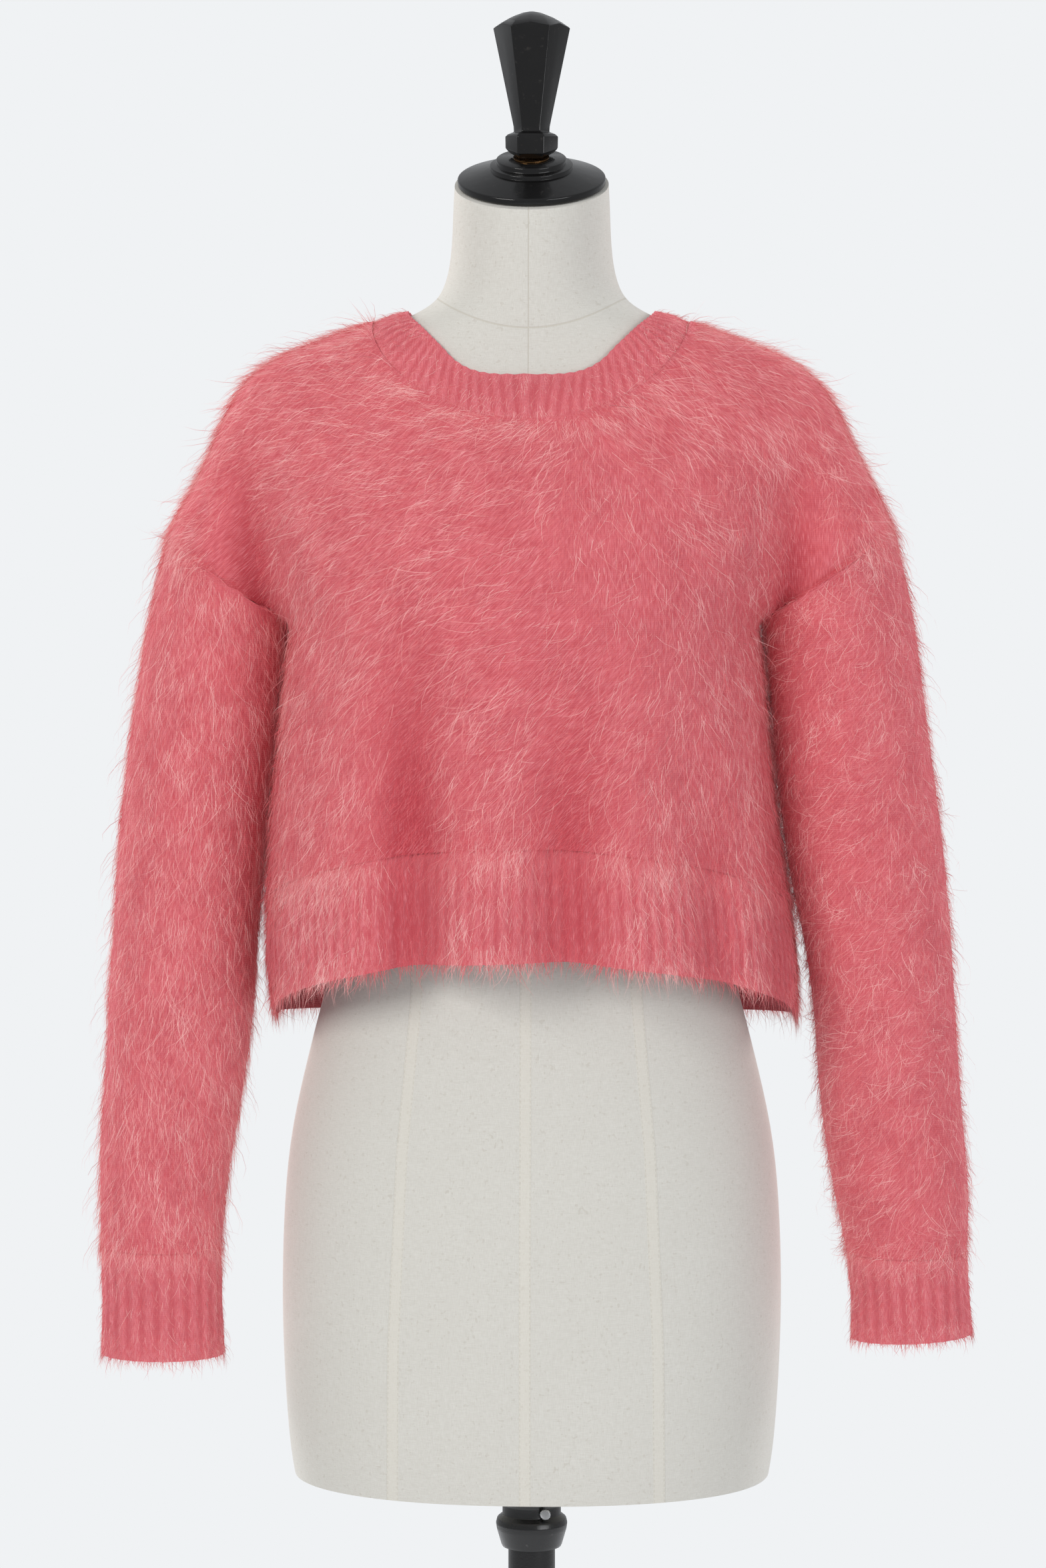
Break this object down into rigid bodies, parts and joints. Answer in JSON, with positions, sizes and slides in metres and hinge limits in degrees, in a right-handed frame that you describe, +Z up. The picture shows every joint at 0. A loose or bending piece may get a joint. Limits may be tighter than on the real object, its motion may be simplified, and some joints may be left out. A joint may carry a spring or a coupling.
{
  "type": "cropped knit sweater on a limbless dress form",
  "caption": "Cropped crew-neck pullover of brushed mohair with dropped shoulders and ribbed bands, worn on a linen dress form on a pole stand.",
  "frame": {"origin": "middle of the foot's underside, on the floor, under the pole", "axes": "+Z up along the pole, the knit's front faces -Y, +X to the viewer's right"},
  "size_m": [0.6068, 0.34, 1.6422],
  "materials": {
    "mohair_knit": "brushed mohair knit with a long soft nap",
    "mohair_rib": "one by one rib of brushed mohair",
    "linen_cover": "plain woven linen, matt",
    "black_wood": "gloss black lacquer",
    "brass_washer": "satin",
    "black_metal": "satin black",
    "screw_steel": "bright"
  },
  "bodies": {
    "root": {"front": "mohair_knit", "back": "mohair_knit", "hem_rib_front": "mohair_rib", "hem_rib_back": "mohair_rib", "neckband": "mohair_rib", "sleeve_left": "mohair_knit", "sleeve_right": "mohair_knit", "cuff_left": "mohair_rib", "cuff_right": "mohair_rib", "dress_form": "linen_cover", "neck_cap": "black_wood", "knob_washer": "brass_washer", "knob": "black_wood", "collar": "black_metal", "collar_screw": "screw_steel", "pole": "black_metal", "foot": "black_metal"}
  },
  "joints": []
}
